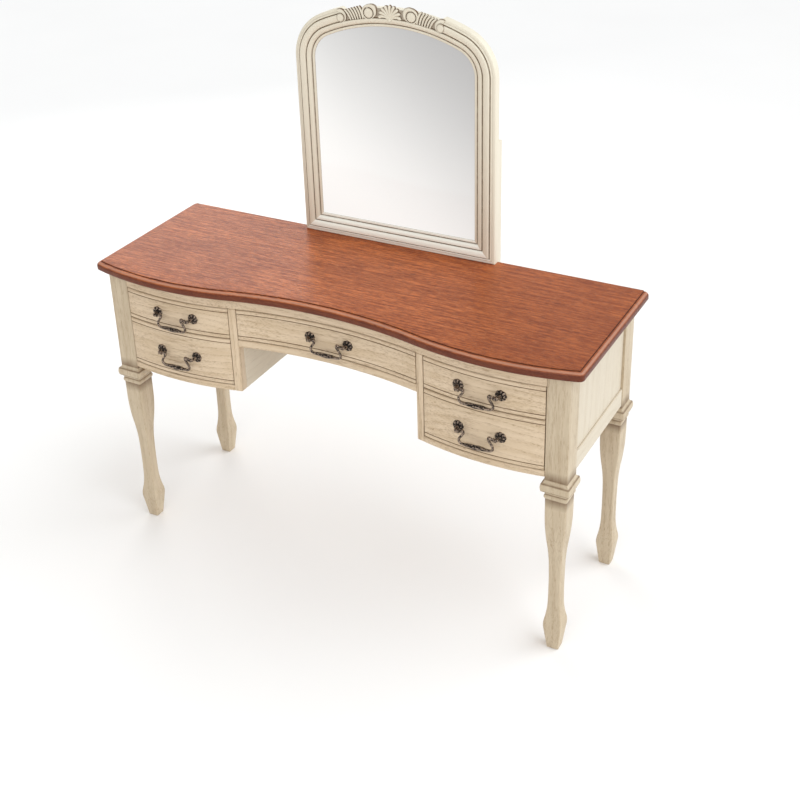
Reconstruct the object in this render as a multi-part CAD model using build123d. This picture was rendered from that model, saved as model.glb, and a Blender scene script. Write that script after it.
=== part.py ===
from build123d import *
import os
from math import asin, cos, sin, sqrt

# Vanity table with five drawers and a fixed arched mirror. Millimetres, +Z up.
# Origin: bottom centre of the whole object, on the floor. The drawers face -Y.

# ---- Driving dimensions -------------------------------------------------------------
WIDTH = 1200.0              # across the table top
DEPTH = 430.0               # front of the top's bulges to the back of the mirror battens
TABLE_H = 720.0             # floor to the top surface
TOP_T = 22.0                # thickness of the table top
NOSE_OVERHANG = 26.0        # top's front edge in front of the drawer fronts
CORNER_R = 12.0             # plan rounding of the top's front corners
NOSE_TOP_R = 9.0            # rounding of the nose's upper edge
NOSE_UNDER_R = 5.0          # and of its lower edge
EDGE_STEP = 11.0            # width of the moulded edge round the top's raised field
FIELD_RISE = 2.0            # height of that raised field

HOLLOW_R = 1018.0           # serpentine front: radius of the hollow middle
BULGE_R = 690.0             # radius of the two bulges
BULGE_X = 402.7             # distance of each bulge's crown from the centre line

POST = 50.0                 # square of each leg post
POST_OUTER_X = 572.0        # outer face of the posts
POST_SETBACK = 11.0         # post front behind the crown of the bulges
BOARD = 20.0                # thickness of the front members and drawer fronts
RAIL_T = 20.0               # thickness of the side rails
STILE_W = 17.5              # stiles and knee-hole panels
STILE_X = 226.5             # half the knee-hole's width
BACK_T = 18.0               # back rail and back panels
BATTEN_T = 16.0             # mirror battens behind the table

Z_TOP_RAIL = 666.0          # underside of the rail over the drawers
Z_SPLIT = 588.0             # line between upper and lower drawers
Z_LOWER = 468.0             # top of the rail under the lower drawers
Z_CASE = 453.0              # underside of the two drawer cases
Z_COLLAR = 447.0            # where the square post meets the leg's collar
Z_CENTRE_RAIL = 570.0       # underside of the rail below the centre drawer
SIDE_RAIL_TOP = 496.0       # top of the lower side rail

GAP_SIDE = 1.5              # clearance at each side of a drawer front
GAP_EDGE = 1.25             # clearance above and below a drawer front
BOX_CLEAR = 3.0             # clearance between a drawer box and its opening
WALL = 12.0                 # drawer box wall
BOTTOM_T = 5.0              # drawer bottom
BOX_BACK_Y = 166.0          # outside of a drawer box's back

HANDLE_CC = 96.0            # between the two posts of a handle
STAND_OFF = 16.0            # handle pivot in front of the drawer face
PIN_R = 1.5                 # bail pin, with PIN_CLEAR round it in the eye
PIN_CLEAR = 0.05

MIRROR_HALF = 248.0         # half the mirror frame's width
MIRROR_FRAME = 50.0         # width of the frame's moulding
MIRROR_DEPTH = 24.0         # front to back of the mirror frame
ARCH_TOP = 1287.0           # top of the arched frame
SHOULDER_R = 110.0          # rounded shoulders of the arch
SHOULDER_Z = 1148.0         # height of the shoulders' centres

# ---- Worked-out places --------------------------------------------------------------
FRONT_Y = -DEPTH / 2
BACK_Y = DEPTH / 2 - BATTEN_T                 # back of the table and of the mirror frame
TOP_UNDER = TABLE_H - TOP_T
CROWN_Y = FRONT_Y + NOSE_OVERHANG             # drawer face at the crown of a bulge
TURN = asin(BULGE_X / (HOLLOW_R + BULGE_R))   # angle where the hollow meets a bulge
MIDDLE_Y = CROWN_Y + (HOLLOW_R + BULGE_R) * (1 - cos(TURN))
HOLLOW_CY = MIDDLE_Y - HOLLOW_R
BULGE_CY = CROWN_Y + BULGE_R
POST_FRONT_Y = CROWN_Y + POST_SETBACK
POST_INNER_X = POST_OUTER_X - POST
FRONT_POST_BACK = POST_FRONT_Y + POST
REAR_POST_FRONT = BACK_Y - POST
BACK_FACE_Y = BACK_Y - BACK_T                 # inside face of the back rail and panels
CASE_IN_X = STILE_X + STILE_W
RAIL_OUT_X = POST_OUTER_X - 2.0
MIRROR_FRONT = BACK_Y - MIRROR_DEPTH
AHEAD = -300.0                                # a plane in front of everything
WIDE = 640.0                                  # and one beyond either end of the table


# ---- Small builders -----------------------------------------------------------------
def block(x0, x1, y0, y1, z0, z1):
    """Box between two opposite corners."""
    return Pos((x0 + x1) / 2, (y0 + y1) / 2, (z0 + z1) / 2) * Box(x1 - x0, y1 - y0, z1 - z0)


def rod_x(x0, x1, y, z, radius):
    return Pos((x0 + x1) / 2, y, z) * Rot(0, 90, 0) * Cylinder(radius, x1 - x0)


def rod_y(x, y0, y1, z, radius):
    return Pos(x, (y0 + y1) / 2, z) * Rot(90, 0, 0) * Cylinder(radius, y1 - y0)


def rod_z(x, y, z0, z1, radius):
    return Pos(x, y, (z0 + z1) / 2) * Cylinder(radius, z1 - z0)


def front_y(x, off=0.0):
    """Height of the serpentine front curve in plan, moved forward by off."""
    x = abs(x)
    if x <= (HOLLOW_R - off) * sin(TURN):
        return HOLLOW_CY + sqrt((HOLLOW_R - off) ** 2 - x * x)
    return BULGE_CY - sqrt((BULGE_R + off) ** 2 - (x - BULGE_X) ** 2)


def behind(off, z0, z1):
    """Everything behind the serpentine curve moved forward by off, between two heights."""
    half, back = WIDE, BACK_Y
    join = (HOLLOW_R - off) * sin(TURN)
    reach = (half + join) / 2

    def point(x):
        return (x, front_y(x, off), z0)

    outline = [
        ThreePointArc(point(-half), point(-reach), point(-join)),
        ThreePointArc(point(-join), point(0), point(join)),
        ThreePointArc(point(join), point(reach), point(half)),
        Line(point(half), (half, back, z0)),
        Line((half, back, z0), (-half, back, z0)),
        Line((-half, back, z0), point(-half)),
    ]
    return extrude(make_face(outline), amount=z1 - z0, dir=(0, 0, 1))


def bent_board(x0, x1, z0, z1, off=0.0, thick=BOARD):
    """Board of even thickness that follows the serpentine front."""
    return (behind(off, z0, z1) - behind(off - thick, z0, z1)) & block(x0, x1, AHEAD, BACK_Y, z0, z1)


def save(name, shape):
    export_step(shape, f"parts/{name}.step")


# ---- Table top ----------------------------------------------------------------------
def table_top():
    z_field = TABLE_H - FIELD_RISE
    board = behind(NOSE_OVERHANG, TOP_UNDER, z_field)
    board &= block(-WIDTH / 2, WIDTH / 2, AHEAD, BACK_Y, TOP_UNDER, z_field)
    upright = board.edges().filter_by(Axis.Z)
    corners = [e for e in upright if abs(e.center().X) > WIDTH / 2 - 1 and e.center().Y < 0]
    board = fillet(corners, CORNER_R)
    for level, radius in ((-1, NOSE_TOP_R), (0, NOSE_UNDER_R)):
        edges = [e for e in board.edges().group_by(Axis.Z)[level] if e.center().Y < BACK_Y - 1]
        board = fillet(edges, radius)
    inset = WIDTH / 2 - EDGE_STEP
    field = behind(NOSE_OVERHANG - EDGE_STEP, z_field - 1, TABLE_H)
    field &= block(-inset, inset, AHEAD, BACK_Y, z_field - 1, TABLE_H)
    return board + field


# ---- Legs ---------------------------------------------------------------------------
def leg():
    """Square leg: the same outline on all four faces, post on top, centred on Z."""
    half = POST / 2
    right = [
        Line((0, 0), (13.5, 0)),
        Line((13.5, 0), (20.0, 54)),
        ThreePointArc((20.0, 54), (20.9, 66), (19.6, 78)),
        ThreePointArc((19.6, 78), (15.6, 103), (14.0, 132)),
        ThreePointArc((14.0, 132), (13.7, 180), (14.4, 228)),
        ThreePointArc((14.4, 228), (15.9, 256), (18.9, 284)),
        ThreePointArc((18.9, 284), (22.0, 318), (23.4, 352)),
        Line((23.4, 352), (23.6, 399)),
        ThreePointArc((23.6, 399), (26.0, 405), (24.0, 411)),
        ThreePointArc((24.0, 411), (26.2, 417), (31.0, 420)),
        ThreePointArc((31.0, 420), (32.4, 429), (31.0, 438)),
        ThreePointArc((31.0, 438), (26.8, 441), (half, Z_COLLAR)),
        Line((half, Z_COLLAR), (half, TOP_UNDER)),
        Line((half, TOP_UNDER), (0, TOP_UNDER)),
    ]
    outline = [Plane.XZ * edge for edge in right]
    outline += [mirror(edge, about=Plane.YZ) for edge in outline]
    across = extrude(make_face(outline), amount=POST, both=True)
    return across & (Rot(0, 0, 90) * across)


def leg_places():
    x = POST_OUTER_X - POST / 2
    front, rear = POST_FRONT_Y + POST / 2, BACK_Y - POST / 2
    return {
        "leg_front_left": (-x, front),
        "leg_front_right": (x, front),
        "leg_rear_left": (-x, rear),
        "leg_rear_right": (x, rear),
    }


# ---- Case rails and panels, with tenons into the legs -------------------------------
TENON = 16.0
TENON_T = 10.0


def tenons():
    """Every tenon that a leg is mortised for, by the rail it belongs to."""
    y_front = POST_FRONT_Y + 6
    y_back = BACK_Y - 6
    x_in, x_tip = POST_INNER_X, POST_INNER_X + TENON
    rail_x = (RAIL_OUT_X - RAIL_T + 5, RAIL_OUT_X - 5)
    sides = (FRONT_POST_BACK - TENON, FRONT_POST_BACK, REAR_POST_FRONT, REAR_POST_FRONT + TENON)
    made = {
        "front_top_rail": [block(x_in, x_tip, y_front, y_front + TENON_T, 672, 692)],
        "lower_front_rail": [block(x_in, x_tip, y_front, y_front + TENON_T, 456, 465)],
        "back_rail": [block(x_in, x_tip, y_back - TENON_T, y_back, 600, 672)],
        "side_top_rail": [],
        "side_lower_rail": [],
    }
    for rail, z0, z1 in (("side_top_rail", 672, 692), ("side_lower_rail", 462, 488)):
        for y0, y1 in (sides[:2], sides[2:]):
            made[rail].append(block(*rail_x, y0, y1, z0, z1))
    return made


def panel_board():
    """Flat side panel, let 8 mm into grooves in the rails and posts, right side."""
    return block(558, 566, FRONT_POST_BACK - 6, REAR_POST_FRONT + 6, SIDE_RAIL_TOP - 6, Z_TOP_RAIL + 6)


def side_rail(z0, z1):
    return block(RAIL_OUT_X - RAIL_T, RAIL_OUT_X, FRONT_POST_BACK, REAR_POST_FRONT, z0, z1)


def with_tenons(shape, extra, both_ends=False):
    for piece in extra:
        shape += piece
        if both_ends:
            shape += mirror(piece, about=Plane.YZ)
    return shape


# ---- Drawers ------------------------------------------------------------------------
# name: (opening left, right, bottom, top, box bottom, box top)
SIDE_BAY = (CASE_IN_X, POST_INNER_X)
DRAWERS = {
    "upper_left": (-SIDE_BAY[1], -SIDE_BAY[0], Z_SPLIT, Z_TOP_RAIL, 596.0, 656.0),
    "lower_left": (-SIDE_BAY[1], -SIDE_BAY[0], Z_LOWER, Z_SPLIT, 474.5, 574.0),
    "centre": (-STILE_X, STILE_X, Z_SPLIT, Z_TOP_RAIL, 596.0, 656.0),
    "upper_right": (*SIDE_BAY, Z_SPLIT, Z_TOP_RAIL, 596.0, 656.0),
    "lower_right": (*SIDE_BAY, Z_LOWER, Z_SPLIT, 474.5, 574.0),
}
HANDLE_X = {"left": -381.0, "centre": 0.0, "right": 381.0}
BEAD_INSET = 9.0            # bead line from a drawer front's top and bottom edge
BEAD_CUT = 1.6


def handle_place(name):
    """Centre of a handle: x, pivot y, z."""
    x0, x1, z0, z1 = DRAWERS[name][:4]
    x = HANDLE_X[name.split("_")[-1]]
    return x, front_y(x) - STAND_OFF, (z0 + z1) / 2


def drawer_bottom(name, grow=4.0):
    x0, x1, z0, z1, low, high = DRAWERS[name]
    inner = WALL + BOX_CLEAR - grow
    board = block(x0 + inner, x1 - inner, AHEAD, BOX_BACK_Y - WALL + grow, low + 8, low + 8 + BOTTOM_T)
    return board & behind(grow - BOARD, low, high)


def drawer_front(name):
    x0, x1, z0, z1 = DRAWERS[name][:4]
    low, high = z0 + GAP_EDGE, z1 - GAP_EDGE
    board = bent_board(x0 + GAP_SIDE, x1 - GAP_SIDE, low, high)
    for z in (low + BEAD_INSET, high - BEAD_INSET - BEAD_CUT):
        board -= bent_board(x0, x1, z, z + BEAD_CUT, off=2.0, thick=2.0 + BEAD_CUT)
    return board - drawer_bottom(name)


def drawer_walls(name):
    """Left and right side and the back, as three boards."""
    x0, x1, z0, z1, low, high = DRAWERS[name]
    left, right = x0 + BOX_CLEAR, x1 - BOX_CLEAR
    inside = behind(-BOARD, low, high)
    boards = [
        block(left, left + WALL, AHEAD, BOX_BACK_Y, low, high) & inside,
        block(right - WALL, right, AHEAD, BOX_BACK_Y, low, high) & inside,
        block(left + WALL, right - WALL, BOX_BACK_Y - WALL, BOX_BACK_Y, low, high),
    ]
    return [board - drawer_bottom(name) for board in boards]


# ---- Handles ------------------------------------------------------------------------
EYE_IN = 38.0               # inner end of the post's eye, from the handle's centre
EYE_OUT = 51.0
ROSETTE_R = 13.0
SHANK_R = 2.0
BAIL_R = 2.7                # bail's wire
GRIP_HALF, GRIP_R = 26.0, 4.8       # thicker middle that the hand takes
BAIL_DROP = 29.0            # pivot down to the middle of the grip


def handle_posts(name):
    """Two cast posts with rosette, eye and threaded shank, and their two nuts."""
    cx, py, cz = handle_place(name)
    wood = bent_board(cx - 80, cx + 80, cz - 20, cz + 20)
    solids = []
    for side in (-1, 1):
        x = cx + side * HANDLE_CC / 2
        face = front_y(x)
        post = rod_y(x, face - 3.0, face + 4.0, cz, ROSETTE_R)
        post += rod_y(x, face - 6.0, face, cz, 7.0)
        post += rod_y(x, py, face, cz, 3.6)
        eye = sorted((cx + side * EYE_IN, cx + side * EYE_OUT))
        post += rod_x(*eye, py, cz, 4.4)
        hole = sorted((cx + side * (EYE_IN - 1), cx + side * 47.5))
        post -= rod_x(*hole, py, cz, PIN_R + PIN_CLEAR)
        post -= wood
        post += rod_y(x, face - 1.0, face + BOARD + 5, cz, SHANK_R)
        nut = rod_y(x, face + BOARD - 4, face + BOARD + 3.5, cz, 4.0) - wood
        nut -= rod_y(x, face, face + BOARD + 10, cz, SHANK_R)
        solids += [post, nut]
    return solids


def bail(name):
    """Swan-neck bail hanging from its two pins, with a thicker middle."""
    cx, py, cz = handle_place(name)
    low = -BAIL_DROP
    route = FilletPolyline(
        (-36, py, 0), (-29, py, 0), (-29, py, -8), (-39, py, -20), (-30, py, low),
        (30, py, low), (39, py, -20), (29, py, -8), (29, py, 0), (36, py, 0),
        radius=[3.5, 5, 5, 5, 5, 5, 5, 3.5],
    )
    path = Pos(cx, 0, cz) * route
    start = Plane(origin=path @ 0, z_dir=path % 0)
    shape = sweep(start * Circle(BAIL_R), path=path, transition=Transition.ROUND)
    grip = [
        Line((-GRIP_HALF, 0), (-GRIP_HALF, 1.5)),
        ThreePointArc((-GRIP_HALF, 1.5), (0, GRIP_R), (GRIP_HALF, 1.5)),
        Line((GRIP_HALF, 1.5), (GRIP_HALF, 0)),
        Line((GRIP_HALF, 0), (-GRIP_HALF, 0)),
    ]
    shape += Pos(cx, py, cz - BAIL_DROP) * revolve(make_face(grip), axis=Axis.X)
    for side in (-1, 1):
        span = sorted((cx + side * 34, cx + side * 46))
        shape += rod_x(*span, py, cz, PIN_R)
    return shape


# ---- Mirror -------------------------------------------------------------------------
def crown_arc():
    """Centre height and radius of the arch's top arc, tangent to both rounded shoulders."""
    shoulder_x = MIRROR_HALF - SHOULDER_R
    rise = ARCH_TOP - SHOULDER_Z - SHOULDER_R
    centre_z = SHOULDER_Z - (shoulder_x ** 2 - rise ** 2) / (2 * rise)
    return centre_z, ARCH_TOP - centre_z


def arch_outline(inset):
    """Face of the mirror's outline, moved inwards by inset, in the plane y = 0."""
    half = MIRROR_HALF - inset
    low = TABLE_H + inset
    shoulder_x = MIRROR_HALF - SHOULDER_R
    centre_z, crown_r = crown_arc()
    drop = SHOULDER_Z - centre_z
    r = SHOULDER_R - inset
    reach = sqrt(shoulder_x ** 2 + drop ** 2)
    dir_x, dir_z = shoulder_x / reach, drop / reach
    join = (shoulder_x + r * dir_x, SHOULDER_Z + r * dir_z)
    mid = (dir_x + 1.0, dir_z)
    size = sqrt(mid[0] ** 2 + mid[1] ** 2)
    bend = (shoulder_x + r * mid[0] / size, SHOULDER_Z + r * mid[1] / size)
    crown = (0.0, centre_z + crown_r - inset)
    right = [
        Line((0, 0, low), (half, 0, low)),
        Line((half, 0, low), (half, 0, SHOULDER_Z)),
        ThreePointArc((half, 0, SHOULDER_Z), (bend[0], 0, bend[1]), (join[0], 0, join[1])),
    ]
    left = [mirror(edge, about=Plane.YZ) for edge in right]
    top = ThreePointArc((-join[0], 0, join[1]), (crown[0], 0, crown[1]), (join[0], 0, join[1]))
    return make_face(right + left + [top])


def arch_plate(inset, y0, y1):
    return Pos(0, y0, 0) * extrude(arch_outline(inset), amount=y1 - y0, dir=(0, 1, 0))


def ring(outer, inner, y0, y1=BACK_Y):
    return arch_plate(outer, y0, y1) - arch_plate(inner, y0, y1)


# frame moulding, (outer inset, inner inset, depth behind the frame's front)
BANDS = (
    (0.0, 12.0, 4.5),       # outer band
    (12.0, 13.5, 6.0),
    (13.5, 29.0, 0.0),      # main reed
    (29.0, 31.0, 6.0),
    (31.0, 42.0, 2.0),      # inner reed
    (42.0, 44.0, 8.0),
    (44.0, 45.0, 6.5),
)
LIP_DEPTH = 6.5             # lip that holds the glass, from the last band to MIRROR_FRAME
GLASS_INSET = 45.0
GLASS_Y = MIRROR_FRONT + 9.0
GLASS_T = 4.0
ARCH_FOOT = 1120.0          # joint between the arched top and the two stiles

CREST_HALF = 140.0          # half the length of the carved crest
CREST_WIDTH = 31.0          # it replaces the bands outside the inner reed
CREST_T = 10.0
CREST_DIP = 9.0             # the backing lies this far inside the arch's outline
FAN = (1251.0, 36.0)        # height of the fan's centre, its radius
SCROLLS = ((128.0, 1248.5, 13.0), (52.0, 1265.0, 17.0))     # x, z, radius
FLUTE_X = (76.0, 85.0, 94.0, 103.0)
FLUTE_R = 10.0
FLUTE_INSET = 14.0          # centre of a flute's rounded head inside the arch's outline


def frame_ring():
    """Whole moulding: outer band, two reeds, the grooves between, and the lip over the glass."""
    shape = ring(GLASS_INSET, MIRROR_FRAME, MIRROR_FRONT + LIP_DEPTH, GLASS_Y)
    for outer, inner, depth in BANDS:
        shape += ring(outer, inner, MIRROR_FRONT + depth)
    return shape


def mitre_prism():
    """Region of the bottom rail, bounded by the two corner mitres."""
    reach = MIRROR_FRAME + 10
    outer, inner = MIRROR_HALF, MIRROR_HALF - reach
    z0, z1 = TABLE_H, TABLE_H + reach
    corners = [(-outer, 0, z0), (outer, 0, z0), (inner, 0, z1), (-inner, 0, z1), (-outer, 0, z0)]
    face = make_face([Line(a, b) for a, b in zip(corners, corners[1:])])
    return Pos(0, MIRROR_FRONT - 5, 0) * extrude(face, amount=60, dir=(0, 1, 0))


def crest_span(shape):
    """The part of a shape that lies within the crest's length."""
    return shape & block(-CREST_HALF, CREST_HALF, MIRROR_FRONT - 10, BACK_Y, 1200, ARCH_TOP + 10)


def crown_z(x):
    """Height of the arch's outline above x, between the shoulders."""
    centre_z, radius = crown_arc()
    return centre_z + sqrt(radius ** 2 - x * x)


def crest():
    """Carved crest: backing strip, two pairs of scrolls, flutes and a central fan."""
    front, back = MIRROR_FRONT, MIRROR_FRONT + CREST_T
    shape = ring(CREST_DIP, CREST_WIDTH, front + 4, back)
    shape += rod_y(0, front, back, *FAN)
    for side in (-1, 1):
        for x, z, radius in SCROLLS:
            shape += rod_y(side * x, front, back, z, radius)
        for x in FLUTE_X:
            shape += rod_y(side * x, front + 1, back, crown_z(x) - FLUTE_INSET, FLUTE_R)
    return crest_span(shape & ring(0, CREST_WIDTH, front, back))


def crest_pocket():
    """What the crest takes out of the arch: its seat, and the arch's edge above the backing."""
    seat = ring(-5, CREST_WIDTH, MIRROR_FRONT - 5, MIRROR_FRONT + CREST_T)
    return crest_span(seat + ring(-5, CREST_DIP, MIRROR_FRONT - 5))


# ---- Screws -------------------------------------------------------------------------
BATTEN_X = (MIRROR_HALF - 36.0, MIRROR_HALF)    # flush with the outer edge of the mirror frame
BATTEN_Z = (590.0, 1006.0)


def batten_screws():
    """Countersunk screws through both battens, into the back rail and the mirror frame."""
    x = (BATTEN_X[0] + BATTEN_X[1]) / 2
    made = []
    for side in (-1, 1):
        for z in (612.0, 676.0, 750.0, 860.0, 980.0):
            screw = rod_y(side * x, BACK_Y - 12, DEPTH / 2, z, 2.0)
            made.append(screw + rod_y(side * x, DEPTH / 2 - 3, DEPTH / 2, z, 4.5))
    return made


CLEAT = 18.0


def top_cleats():
    """Strips under the top, along the side rails, the knee panels and the back rail."""
    z0 = TOP_UNDER - CLEAT
    rail_in = RAIL_OUT_X - RAIL_T
    made = []
    for side in (-1, 1):
        for x0, y0, y1 in ((rail_in - CLEAT, FRONT_POST_BACK, REAR_POST_FRONT),
                           (STILE_X - CLEAT, -105.0, BACK_FACE_Y)):
            xs = sorted((side * x0, side * (x0 + CLEAT)))
            made.append(block(*xs, y0, y1, z0, TOP_UNDER))
    made.append(block(-200, 200, BACK_FACE_Y - CLEAT, BACK_FACE_Y, z0, TOP_UNDER))
    return made


def top_screws():
    z0 = TOP_UNDER - CLEAT
    rail_x = RAIL_OUT_X - RAIL_T - CLEAT / 2
    knee_x = STILE_X - CLEAT / 2
    places = [(side * x, y) for side in (-1, 1) for x in (rail_x, knee_x) for y in (-80.0, 20.0, 120.0)]
    places += [(x, BACK_FACE_Y - CLEAT / 2) for x in (-120.0, 120.0)]
    return [rod_z(x, y, z0 - 2, TABLE_H - 8, 2.0) + rod_z(x, y, z0 - 2, z0, 4.5) for x, y in places]


# ---- Drawer runners -----------------------------------------------------------------
def runners():
    """Hardwood strips that the drawer boxes slide on, one under each box side."""
    made = []
    for z0, z1 in ((462.0, 474.0), (583.5, 595.5)):
        inner = block(CASE_IN_X, CASE_IN_X + 20, AHEAD, BACK_FACE_Y, z0, z1)
        outer = block(POST_INNER_X - 20, RAIL_OUT_X - RAIL_T, AHEAD, BACK_FACE_Y, z0, z1)
        if z0 > SIDE_RAIL_TOP:
            outer &= block(0, 558, AHEAD, BACK_FACE_Y, z0, z1)
        outer -= block(POST_INNER_X, WIDTH, AHEAD, FRONT_POST_BACK, z0, z1)
        outer -= block(POST_INNER_X, WIDTH, REAR_POST_FRONT, BACK_Y, z0, z1)
        made += [inner, outer]
    made.append(block(STILE_X - 20, STILE_X, AHEAD, BACK_FACE_Y, 583.5, 595.5))
    made = [strip & behind(-BOARD - 1, 400, 700) for strip in made]
    return made + [mirror(strip, about=Plane.YZ) for strip in made]


def subtract(shape, tools):
    for tool in tools:
        shape = shape - tool
    return shape


def build():
    os.makedirs("parts", exist_ok=True)
    joints = tenons()
    panel = panel_board()
    screws = top_screws()
    fixing = batten_screws()

    save("table_top", subtract(table_top(), screws))
    save("top_cleats", Compound(children=[subtract(c, screws) for c in top_cleats()]))
    save("top_screws", Compound(children=screws))

    mortises = [piece for group in joints.values() for piece in group] + [panel]
    mortises += [mirror(piece, about=Plane.YZ) for piece in mortises]
    for name, (x, y) in leg_places().items():
        save(name, subtract(Pos(x, y, 0) * leg(), mortises))

    top_rail = bent_board(-POST_INNER_X, POST_INNER_X, Z_TOP_RAIL, TOP_UNDER)
    save("front_top_rail", with_tenons(top_rail, joints["front_top_rail"], both_ends=True))
    save("centre_rail", bent_board(-STILE_X, STILE_X, Z_CENTRE_RAIL, Z_SPLIT))
    back = block(-POST_INNER_X, POST_INNER_X, BACK_FACE_Y, BACK_Y, Z_CENTRE_RAIL, TOP_UNDER)
    back = with_tenons(back, joints["back_rail"], both_ends=True)
    save("back_rail", subtract(back, fixing))

    lower_rail = bent_board(CASE_IN_X, POST_INNER_X, Z_CASE, Z_LOWER)
    lower_rail = with_tenons(lower_rail, joints["lower_front_rail"])
    knee = block(STILE_X, CASE_IN_X, AHEAD, BACK_FACE_Y, Z_CASE, TOP_UNDER)
    knee &= behind(-BOARD, Z_CASE, TOP_UNDER)
    pieces = {
        "stile": bent_board(STILE_X, CASE_IN_X, Z_CASE, Z_TOP_RAIL),
        "lower_front_rail": lower_rail,
        "knee_panel": knee,
        "side_panel": panel,
        "side_lower_rail": with_tenons(side_rail(Z_CASE, SIDE_RAIL_TOP) - panel, joints["side_lower_rail"]),
    }
    for name, piece in pieces.items():
        save(f"{name}_right", piece)
        save(f"{name}_left", mirror(piece, about=Plane.YZ))
    hidden = {
        "side_top_rails": with_tenons(side_rail(Z_TOP_RAIL, TOP_UNDER) - panel, joints["side_top_rail"]),
        "back_panels": block(STILE_X, POST_INNER_X, BACK_FACE_Y, BACK_Y, Z_CASE, Z_CENTRE_RAIL),
        "case_bottoms": case_bottom(),
    }
    for name, piece in hidden.items():
        save(name, Compound(children=[piece, mirror(piece, about=Plane.YZ)]))
    save("drawer_runners", Compound(children=runners()))

    for name in DRAWERS:
        save(f"drawer_front_{name}", subtract(drawer_front(name), shanks(name)))
        save(f"drawer_walls_{name}", Compound(children=drawer_walls(name)))
        save(f"drawer_bottom_{name}", drawer_bottom(name))
        save(f"handle_posts_{name}", Compound(children=handle_posts(name)))
        save(f"bail_{name}", bail(name))

    moulding = frame_ring()
    prism = mitre_prism()
    save("mirror_bottom_rail", moulding & prism)
    side = (moulding - prism) & block(0, WIDE, MIRROR_FRONT - 5, BACK_Y, TABLE_H, ARCH_FOOT)
    side = subtract(side, fixing)
    save("mirror_stile_right", side)
    save("mirror_stile_left", mirror(side, about=Plane.YZ))
    arch = moulding & block(-WIDE, WIDE, MIRROR_FRONT - 5, BACK_Y, ARCH_FOOT, ARCH_TOP + 5)
    save("mirror_arch", arch - crest_pocket())
    save("mirror_crest", crest())
    save("mirror_glass", arch_plate(GLASS_INSET, GLASS_Y, GLASS_Y + GLASS_T))
    save("mirror_back_board", arch_plate(GLASS_INSET, GLASS_Y + GLASS_T, GLASS_Y + GLASS_T + 4))
    batten = block(*BATTEN_X, BACK_Y, DEPTH / 2, *BATTEN_Z)
    batten = subtract(batten, fixing)
    save("mirror_batten_right", batten)
    save("mirror_batten_left", mirror(batten, about=Plane.YZ))
    save("batten_screws", Compound(children=fixing))


def case_bottom():
    """Thin board that closes a drawer case from below, right side."""
    z0, z1 = Z_CASE + 3, Z_CASE + 9
    board = block(CASE_IN_X, RAIL_OUT_X - RAIL_T, AHEAD, BACK_FACE_Y, z0, z1) & behind(-BOARD, z0, z1)
    board -= block(POST_INNER_X, WIDTH, AHEAD, FRONT_POST_BACK, z0, z1)
    return board - block(POST_INNER_X, WIDTH, REAR_POST_FRONT, BACK_Y, z0, z1)


def shanks(name):
    """Holes through a drawer front for its handle's two threaded shanks."""
    cx, py, cz = handle_place(name)
    return [rod_y(cx + side * HANDLE_CC / 2, AHEAD, 0, cz, SHANK_R) for side in (-1, 1)]


build()
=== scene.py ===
from math import atan2, ceil, cos, exp, hypot, pi, radians, sin, sqrt

import bmesh
import bpy
from mathutils import Matrix, Vector


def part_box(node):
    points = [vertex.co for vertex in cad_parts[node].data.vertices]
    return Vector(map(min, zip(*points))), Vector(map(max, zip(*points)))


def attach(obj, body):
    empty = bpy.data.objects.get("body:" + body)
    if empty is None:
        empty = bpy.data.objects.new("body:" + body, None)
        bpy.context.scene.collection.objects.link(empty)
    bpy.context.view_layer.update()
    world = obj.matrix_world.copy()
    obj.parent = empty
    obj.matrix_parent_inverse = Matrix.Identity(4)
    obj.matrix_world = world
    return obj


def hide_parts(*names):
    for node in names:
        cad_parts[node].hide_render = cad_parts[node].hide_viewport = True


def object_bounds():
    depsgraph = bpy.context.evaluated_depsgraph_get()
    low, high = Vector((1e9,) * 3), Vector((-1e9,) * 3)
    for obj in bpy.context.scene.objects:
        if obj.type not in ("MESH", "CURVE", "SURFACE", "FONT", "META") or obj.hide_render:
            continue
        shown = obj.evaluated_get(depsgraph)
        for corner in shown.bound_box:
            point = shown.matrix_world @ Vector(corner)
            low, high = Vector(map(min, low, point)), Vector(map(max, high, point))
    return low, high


# Vanity table with an arched mirror: the visual model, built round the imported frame.
# Metres, +Z up, drawers face -Y. Outlines are given in millimetres and scaled by MM.
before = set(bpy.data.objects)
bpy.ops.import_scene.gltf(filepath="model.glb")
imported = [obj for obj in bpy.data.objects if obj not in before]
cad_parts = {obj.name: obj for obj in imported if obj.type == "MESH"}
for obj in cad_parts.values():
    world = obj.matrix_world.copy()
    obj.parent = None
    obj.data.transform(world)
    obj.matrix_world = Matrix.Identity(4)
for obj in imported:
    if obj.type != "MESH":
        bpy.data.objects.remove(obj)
CAD_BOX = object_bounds()
MM = 0.001

# ---- Driving dimensions, from the frame where it holds them ----------------------------
TOP_LOW, TOP_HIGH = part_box("table_top")
FRONT_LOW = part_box("drawer_front_upper_left")[0]
HOLLOW_R = 1.018            # serpentine front: the hollow middle
BULGE_R = 0.690             # and the two bulges
BULGE_X = 0.4027            # from the centre line to a bulge's crown
CORNER_R = 0.012            # plan rounding of the top's front corners
BOARD = 0.020               # thickness of the front members
POST = 0.050                # square of the leg posts
MIRROR_HALF = 0.248         # half the mirror frame's width
SHOULDER_R = 0.110          # rounded shoulders of the arch
SHOULDER_Z = 1.148
ARCH_FOOT = 1.120           # joint between the arched top and the stiles
FRAME_DEPTH = 0.024         # mirror frame, front to back
CREST_HALF = 0.128          # the full moulding ends here, behind the button of the crest's small scroll
STAND_OFF = 0.016           # handle pivot in front of the drawer face
POST_U = 0.048              # handle posts from the handle's centre

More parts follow.
